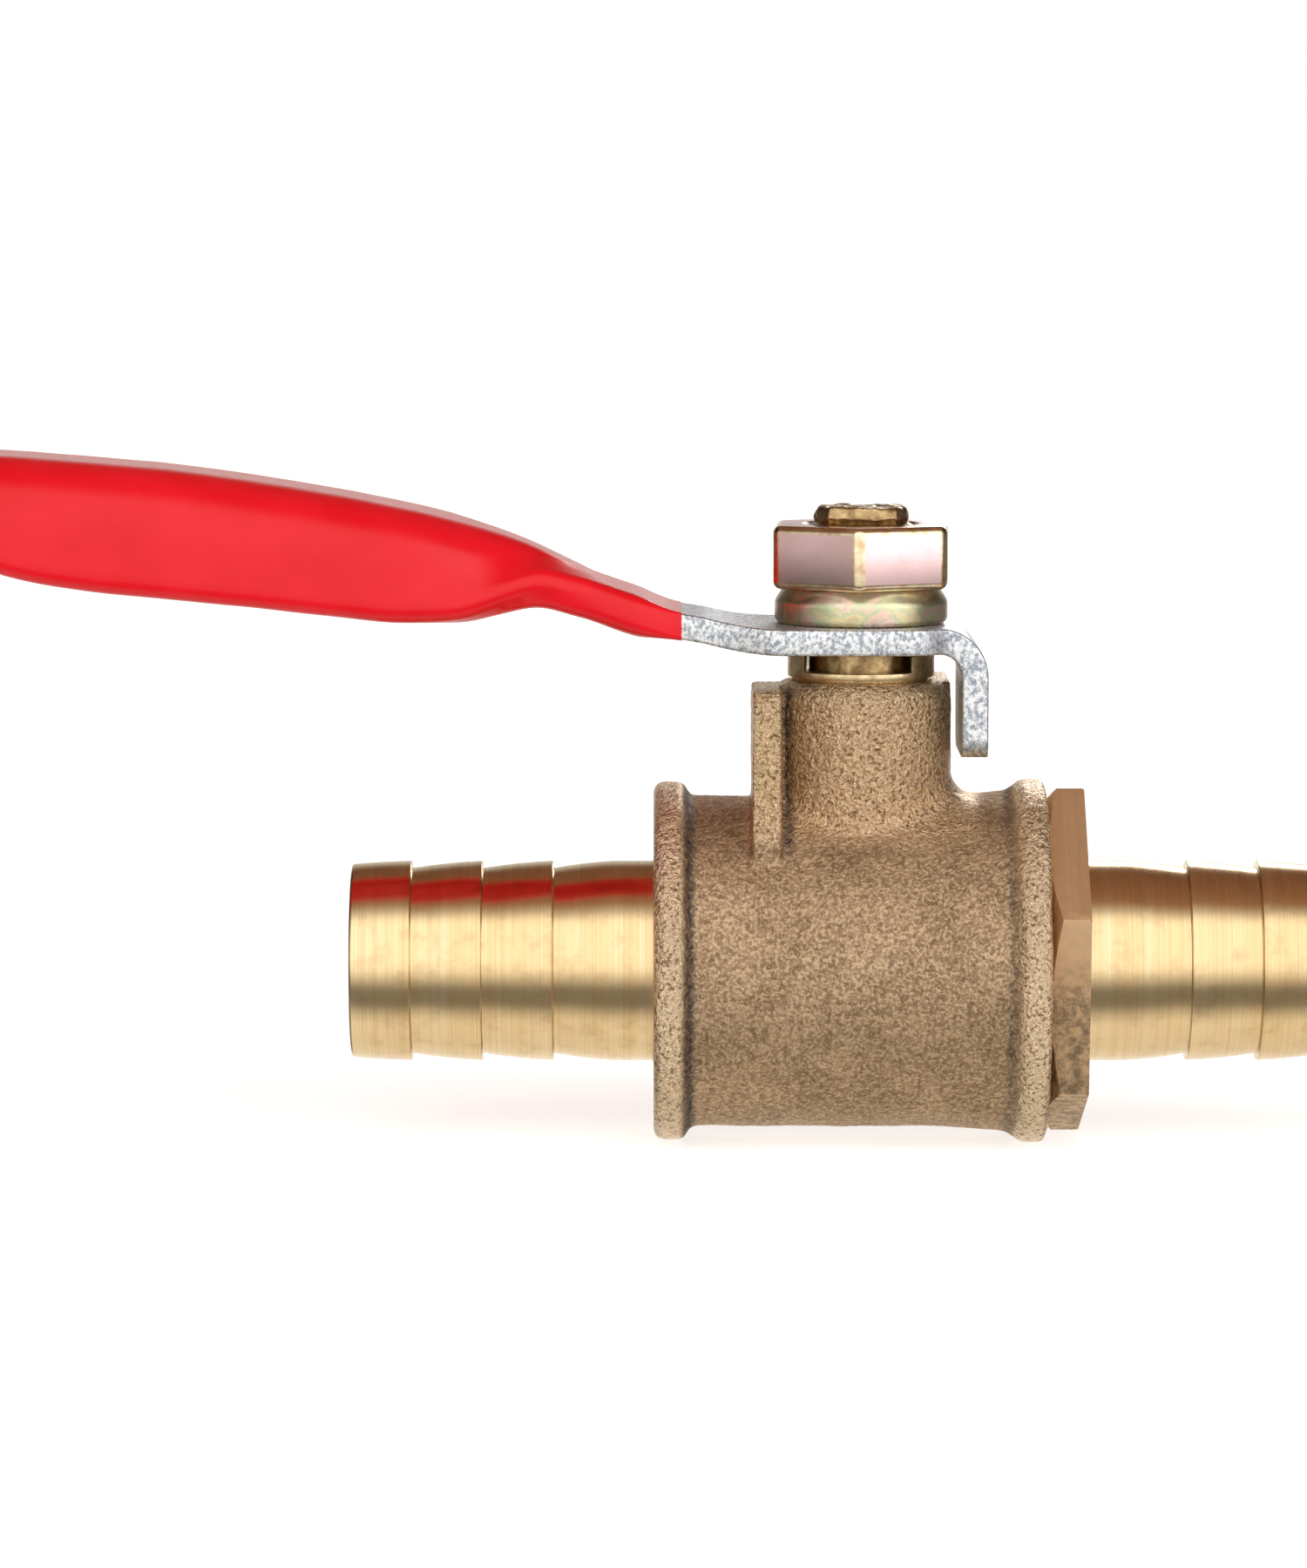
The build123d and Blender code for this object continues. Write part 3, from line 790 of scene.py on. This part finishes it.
def turned_brass(name, with_flats=False):
    """Bright brass off the lathe, with fine tool marks running round the pipe. With flats, what lies outside
    the barb's radius is the hexagon: duller, and darker towards its lower side."""
    made, nodes, link, shader = new_material(name)
    mm = place_mm(nodes, link)
    shader.inputs["Metallic"].default_value = 1.0
    lines = noise_at(nodes, link, scaled(nodes, link, mm, (9.0, 0.02, 0.02)), 1.0, 4.0, 0.7)
    wide = noise_at(nodes, link, scaled(nodes, link, mm, (1.6, 0.05, 0.05)), 1.0, 2.0, 0.5)
    stain = noise_at(nodes, link, mm, 0.8, 4.0, 0.6)
    fine_share = mapped(nodes, link, lines, 0.35, 0.65, 0, 1)
    wide_share = mapped(nodes, link, wide, 0.4, 0.7, 0, 0.35)
    stain_share = mapped(nodes, link, stain, 0.52, 0.75, 0, 0.4)
    tone = mix_colour(nodes, link, fine_share, (0.70, 0.50, 0.25), (0.84, 0.65, 0.38))
    tone = mix_colour(nodes, link, wide_share, tone, (0.93, 0.80, 0.56))
    tone = mix_colour(nodes, link, stain_share, tone, (0.46, 0.29, 0.15))
    rough = mapped(nodes, link, lines, 0.3, 0.7, 0.26, 0.15)
    height = lines
    if with_flats:
        split = nodes.new("ShaderNodeSeparateXYZ")
        link(mm, split.inputs[0])
        _, y, z = split.outputs
        y_square = math_node(nodes, link, "MULTIPLY", y, y)
        z_square = math_node(nodes, link, "MULTIPLY", z, z)
        radius = math_node(nodes, link, "SQRT", math_node(nodes, link, "ADD", y_square, z_square))
        flats = mapped(nodes, link, radius, CREST_R + 0.15, CREST_R + 0.3, 0.0, 1.0)
        flats_noise = noise_at(nodes, link, mm, 1.7, 4.0, 0.7)
        # The hexagon turns darker towards its lower side, broken up by noise.
        low = mapped(nodes, link, z, 2.0, -2.0, 0.1, 0.9, smooth=True)
        dark = math_node(nodes, link, "MULTIPLY", low, mapped(nodes, link, flats_noise, 0.4, 0.6, 1.0, 0.25))
        dull = mix_colour(nodes, link, dark, (0.80, 0.55, 0.33), (0.22, 0.16, 0.10))
        tone = mix_colour(nodes, link, flats, tone, dull)
        rough_flats = math_node(nodes, link, "MULTIPLY", flats, 0.34)
        rough = math_node(nodes, link, "ADD", rough, rough_flats)
        height = mix_colour(nodes, link, flats, lines, flats_noise)
    link(tone, shader.inputs["Base Color"])
    link(rough, shader.inputs["Roughness"])
    bump(nodes, link, shader, height, 0.012, 0.6)
    return made


def plain_metal(name, dark, light, rough, grain_scale=2.0, depth=0.02):
    """Metal whose colour wanders between two tones, with a slightly uneven surface."""
    made, nodes, link, shader = new_material(name)
    mm = place_mm(nodes, link)
    shader.inputs["Metallic"].default_value = 1.0
    grain = noise_at(nodes, link, mm, grain_scale, 4.0, 0.6)
    share = mapped(nodes, link, grain, 0.35, 0.65, 0, 1)
    link(mix_colour(nodes, link, share, dark, light), shader.inputs["Base Color"])
    link(mapped(nodes, link, grain, 0.3, 0.7, rough * 1.25, rough * 0.8), shader.inputs["Roughness"])
    bump(nodes, link, shader, grain, depth, 0.5)
    return made


def zinc_steel():
    """Bright zinc on sheet steel, with the same grainy mottle on faces and edges."""
    made, nodes, link, shader = new_material("zinc_steel")
    mm = place_mm(nodes, link)
    shader.inputs["Metallic"].default_value = 1.0
    spangle = nodes.new("ShaderNodeTexVoronoi")
    spangle.inputs["Scale"].default_value = 2.6
    link(mm, spangle.inputs["Vector"])
    tear = noise_at(nodes, link, scaled(nodes, link, mm, (4.2, 4.2, 3.2)), 1.0, 4.0, 0.7)
    share = mapped(nodes, link, tear, 0.42, 0.56, 0, 1)
    tone = mix_colour(nodes, link, share, (0.36, 0.40, 0.48), (0.88, 0.91, 0.95))
    link(tone, shader.inputs["Base Color"])
    link(mapped(nodes, link, tear, 0.3, 0.7, 0.5, 0.32), shader.inputs["Roughness"])
    first = bump(nodes, link, shader, tear, 0.05, 0.6)
    bump(nodes, link, shader, spangle.outputs["Distance"], 0.01, 0.3, previous=first)
    return made


def red_vinyl():
    """Glossy dipped vinyl."""
    made, nodes, link, shader = new_material("red_vinyl")
    mm = place_mm(nodes, link)
    cloud = noise_at(nodes, link, mm, 0.25, 3.0, 0.5)
    fine = noise_at(nodes, link, mm, 2.2, 3.0, 0.6)
    share = mapped(nodes, link, cloud, 0.35, 0.65, 0, 1)
    tone = mix_colour(nodes, link, share, (0.86, 0.006, 0.016), (0.93, 0.010, 0.024))
    link(tone, shader.inputs["Base Color"])
    link(mapped(nodes, link, fine, 0.3, 0.7, 0.16, 0.24), shader.inputs["Roughness"])
    shader.inputs["Specular IOR Level"].default_value = 0.3
    shader.inputs["Subsurface Weight"].default_value = 0.0
    bump(nodes, link, shader, fine, 0.015, 0.35)
    return made


def iridescent_zinc():
    """Yellow passivated zinc with drifting gold, green and pink tints."""
    made, nodes, link, shader = new_material("yellow_zinc_washer")
    mm = place_mm(nodes, link)
    shader.inputs["Metallic"].default_value = 1.0
    drift = noise_at(nodes, link, mm, 0.5, 3.0, 0.5, 0.6)
    stops = (
        (0.30, (0.62, 0.52, 0.30)),
        (0.42, (0.84, 0.73, 0.45)),
        (0.50, (0.58, 0.64, 0.42)),
        (0.58, (0.86, 0.64, 0.54)),
        (0.70, (0.60, 0.52, 0.40)),
    )
    link(ramp_node(nodes, link, drift, stops), shader.inputs["Base Color"])
    link(mapped(nodes, link, drift, 0.3, 0.7, 0.38, 0.28), shader.inputs["Roughness"])
    bump(nodes, link, shader, noise_at(nodes, link, mm, 3.0, 3.0, 0.6), 0.02, 0.4)
    return made


def ptfe():
    """White PTFE, waxy and slightly mottled."""
    made, nodes, link, shader = new_material("ptfe")
    cloud = noise_at(nodes, link, place_mm(nodes, link), 0.9, 3.0, 0.6)
    link(mix_colour(nodes, link, cloud, (0.74, 0.74, 0.72), (0.88, 0.88, 0.86)), shader.inputs["Base Color"])
    shader.inputs["Roughness"].default_value = 0.38
    return made


# ---------------------------------------------------------------- world, floor and camera
CREAM = (1.0, 0.985, 0.955)
TAN = (1.0, 0.95, 0.88)
ROSE = (1.0, 0.98, 0.99)
RUST = (1.0, 0.52, 0.34)

# Bands round the pipe's axis: degrees above the line of sight, brightness, tint.
WORLD_BANDS = [
    (-180, 0.80, CREAM),
    (-150, 0.72, TAN),
    (-110, 0.60, TAN),
    (-72, 0.66, TAN),
    (-58, 0.42, TAN),
    (-47, 0.16, TAN),
    (-27, 0.16, TAN),
    (-14, 0.55, TAN),
    (-3, 0.92, CREAM),
    (8, 1.0, CREAM),
    (54, 1.0, CREAM),
    (66, 0.42, TAN),
    (77, 0.22, RUST),
    (104, 0.17, RUST),
    (146, 0.13, RUST),
    (160, 0.36, CREAM),
    (180, 0.55, CREAM),
]
# The same round the vertical: degrees to the right of the line of sight, brightness, tint.
WORLD_SIDES = [
    (-180, 1.0, CREAM),
    (-166, 0.9, CREAM),
    (-150, 0.16, TAN),
    (-92, 0.14, TAN),
    (-80, 0.42, TAN),
    (-52, 0.48, TAN),
    (-40, 1.0, CREAM),
    (30, 1.0, CREAM),
    (42, 1.3, ROSE),
    (66, 1.3, ROSE),
    (78, 0.22, TAN),
    (150, 0.12, TAN),
    (166, 0.9, CREAM),
    (180, 1.0, CREAM),
]
WORLD_STRENGTH = 1.5


def banded(bands):
    """Bands in degrees as ramp stops, at half brightness so that none passes 1."""
    return [((degrees + 180) / 360, tuple(0.5 * level * c for c in tint)) for degrees, level, tint in bands]


def studio_world():
    """A soft studio as a function of direction: a front box, a dark gap over it, a tan floor bounce, and side
    boxes. The camera itself sees plain white."""
    world = bpy.data.worlds.new("studio")
    bpy.context.scene.world = world
    world.use_nodes = True
    nodes, link = world.node_tree.nodes, world.node_tree.links.new
    nodes.clear()
    coords = nodes.new("ShaderNodeTexCoord")
    split = nodes.new("ShaderNodeSeparateXYZ")
    link(coords.outputs["Generated"], split.inputs[0])
    front = math_node(nodes, link, "MULTIPLY", split.outputs["Y"], -1.0)
    rise = math_node(nodes, link, "ARCTAN2", split.outputs["Z"], front)
    turn = math_node(nodes, link, "ARCTAN2", split.outputs["X"], front)
    band = ramp_node(nodes, link, mapped(nodes, link, rise, -math.pi, math.pi, 0, 1), banded(WORLD_BANDS))
    side = ramp_node(nodes, link, mapped(nodes, link, turn, -math.pi, math.pi, 0, 1), banded(WORLD_SIDES))
    upright = math_node(nodes, link, "ABSOLUTE", split.outputs["Z"])
    level = mapped(nodes, link, upright, 0.6, 0.9, 0.0, 1.0, smooth=True)
    side = mix_colour(nodes, link, level, side, (0.5, 0.49, 0.47))
    tone = mix_colour(nodes, link, 1.0, band, side, blend="MULTIPLY")
    seen = nodes.new("ShaderNodeBackground")
    seen.inputs["Color"].default_value = (1.0, 1.0, 1.0, 1.0)
    lit = nodes.new("ShaderNodeBackground")
    link(tone, lit.inputs["Color"])
    lit.inputs["Strength"].default_value = 4 * WORLD_STRENGTH
    path = nodes.new("ShaderNodeLightPath")
    mix = nodes.new("ShaderNodeMixShader")
    link(path.outputs["Is Camera Ray"], mix.inputs["Fac"])
    link(lit.outputs[0], mix.inputs[1])
    link(seen.outputs[0], mix.inputs[2])
    out = nodes.new("ShaderNodeOutputWorld")
    link(mix.outputs[0], out.inputs["Surface"])


def make_floor():
    """A pale floor disc under the body. It takes shadows but doesn't block the studio's light from below."""
    mesh = bpy.data.meshes.new("floor")
    work = bmesh.new()
    bmesh.ops.create_circle(work, cap_ends=True, segments=96, radius=6.0)
    work.to_mesh(mesh)
    work.free()
    floor = new_object("floor", mesh)
    floor.location = (0, 0, cad_box[0].z - 0.02 * MM)
    made, nodes, link, shader = new_material("pale_floor")
    cloud = noise_at(nodes, link, place_mm(nodes, link), 0.004, 2.0, 0.5)
    link(mix_colour(nodes, link, cloud, (0.91, 0.93, 0.95), (0.93, 0.95, 0.97)), shader.inputs["Base Color"])
    shader.inputs["Roughness"].default_value = 0.9
    shader.inputs["Specular IOR Level"].default_value = 0.0
    shader.inputs["Emission Color"].default_value = (1.0, 1.0, 1.0, 1.0)
    shader.inputs["Emission Strength"].default_value = 0.68
    mesh.materials.append(made)
    floor.visible_glossy = False
    floor.visible_diffuse = False
    floor.visible_shadow = False
    floor.visible_transmission = False


def make_card():
    """A small square light behind to the right, for the lever's top edge; the camera doesn't see it."""
    data = bpy.data.lights.new("back_card", "AREA")
    data.shape = "SQUARE"
    data.size = 40 * MM
    data.energy = 0.025
    card = bpy.data.objects.new("back_card", data)
    bpy.context.scene.collection.objects.link(card)
    place, aim = Vector((30.0, 130.0, 60.0)), Vector((-16.0, 0.0, 24.0))
    card.location = place * MM
    card.rotation_mode = "QUATERNION"
    card.rotation_quaternion = (aim - place).to_track_quat("-Z", "Y")
    card.visible_camera = False


CAMERA_DISTANCE = 0.39
CAMERA_TARGET = (-12.0, 0.0, 10.3)
CAMERA_RISE = 5.7
CAMERA_LENS = 154.4


def make_camera():
    data = bpy.data.cameras.new("camera")
    data.sensor_width = 36.0
    data.lens = CAMERA_LENS
    data.clip_start = 0.01
    data.clip_end = 20.0
    camera = bpy.data.objects.new("camera", data)
    bpy.context.scene.collection.objects.link(camera)
    rise = math.radians(CAMERA_RISE)
    back = Vector((0.0, -math.cos(rise), math.sin(rise)))
    camera.location = Vector(CAMERA_TARGET) * MM + back * CAMERA_DISTANCE
    camera.rotation_mode = "QUATERNION"
    camera.rotation_quaternion = (-back).to_track_quat("-Z", "Y")
    bpy.context.scene.camera = camera


# ---------------------------------------------------------------- assembly
def dress(obj, material, body, node, edge=None):
    """Gives a new piece its material and its body, and hides the CAD node it stands for. A second material
    goes on the faces that the piece's builder set apart."""
    apart = [p.material_index for p in obj.data.polygons]
    obj.data.materials.clear()
    obj.data.materials.append(material)
    if edge:
        obj.data.materials.append(edge)
        obj.data.polygons.foreach_set("material_index", apart)
    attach(obj, body)
    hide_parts(node)


def dress_node(name, material):
    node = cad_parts[name]
    node.data.materials.clear()
    node.data.materials.append(material)


def build():
    cast = cast_brass()
    turned = turned_brass("turned_brass")
    flats = turned_brass("retainer_brass", with_flats=True)
    stem_brass = plain_metal("stem_brass", (0.26, 0.17, 0.08), (0.58, 0.42, 0.22), 0.34, 1.8, 0.08)
    gland_brass = plain_metal("gland_brass", (0.52, 0.40, 0.23), (0.88, 0.70, 0.42), 0.28, 1.4, 0.03)
    chrome = plain_metal("chromed_ball", (0.62, 0.64, 0.66), (0.68, 0.70, 0.72), 0.09, 0.3, 0.001)
    nut_zinc = plain_metal("yellow_zinc_nut", (0.84, 0.60, 0.60), (0.90, 0.66, 0.68), 0.26, 0.4, 0.004)
    nut_edge = plain_metal("yellow_zinc_edge", (0.66, 0.45, 0.26), (0.97, 0.84, 0.62), 0.2, 1.2, 0.004)
    steel = zinc_steel()
    washer = iridescent_zinc()
    vinyl = red_vinyl()
    seals = ptfe()

    dress(make_inlet_barb(), turned, "valve_body", "body")
    dress(make_casting(), cast, "valve_body", "body")
    dress(make_retainer(), flats, "valve_body", "retainer")
    dress(make_gland_nut(), gland_brass, "valve_body", "gland_nut")
    dress(make_stem(), stem_brass, "lever_and_stem", "stem")
    dress(make_lever(), steel, "lever_and_stem", "lever")
    dress(make_grip(), vinyl, "lever_and_stem", "grip")
    dress(make_washer(), washer, "lever_and_stem", "spring_washer")
    dress(make_nut(), nut_zinc, "lever_and_stem", "lever_nut", edge=nut_edge)
    dress_node("ball", chrome)
    for name in ("body_gasket", "inlet_seat", "outlet_seat", "thrust_washer"):
        dress_node(name, seals)
    for name in ("packing_ring_lower", "packing_ring_middle", "packing_ring_upper"):
        dress_node(name, seals)


build()
studio_world()
make_floor()
make_card()
make_camera()
bpy.context.scene.view_settings.view_transform = "Standard"
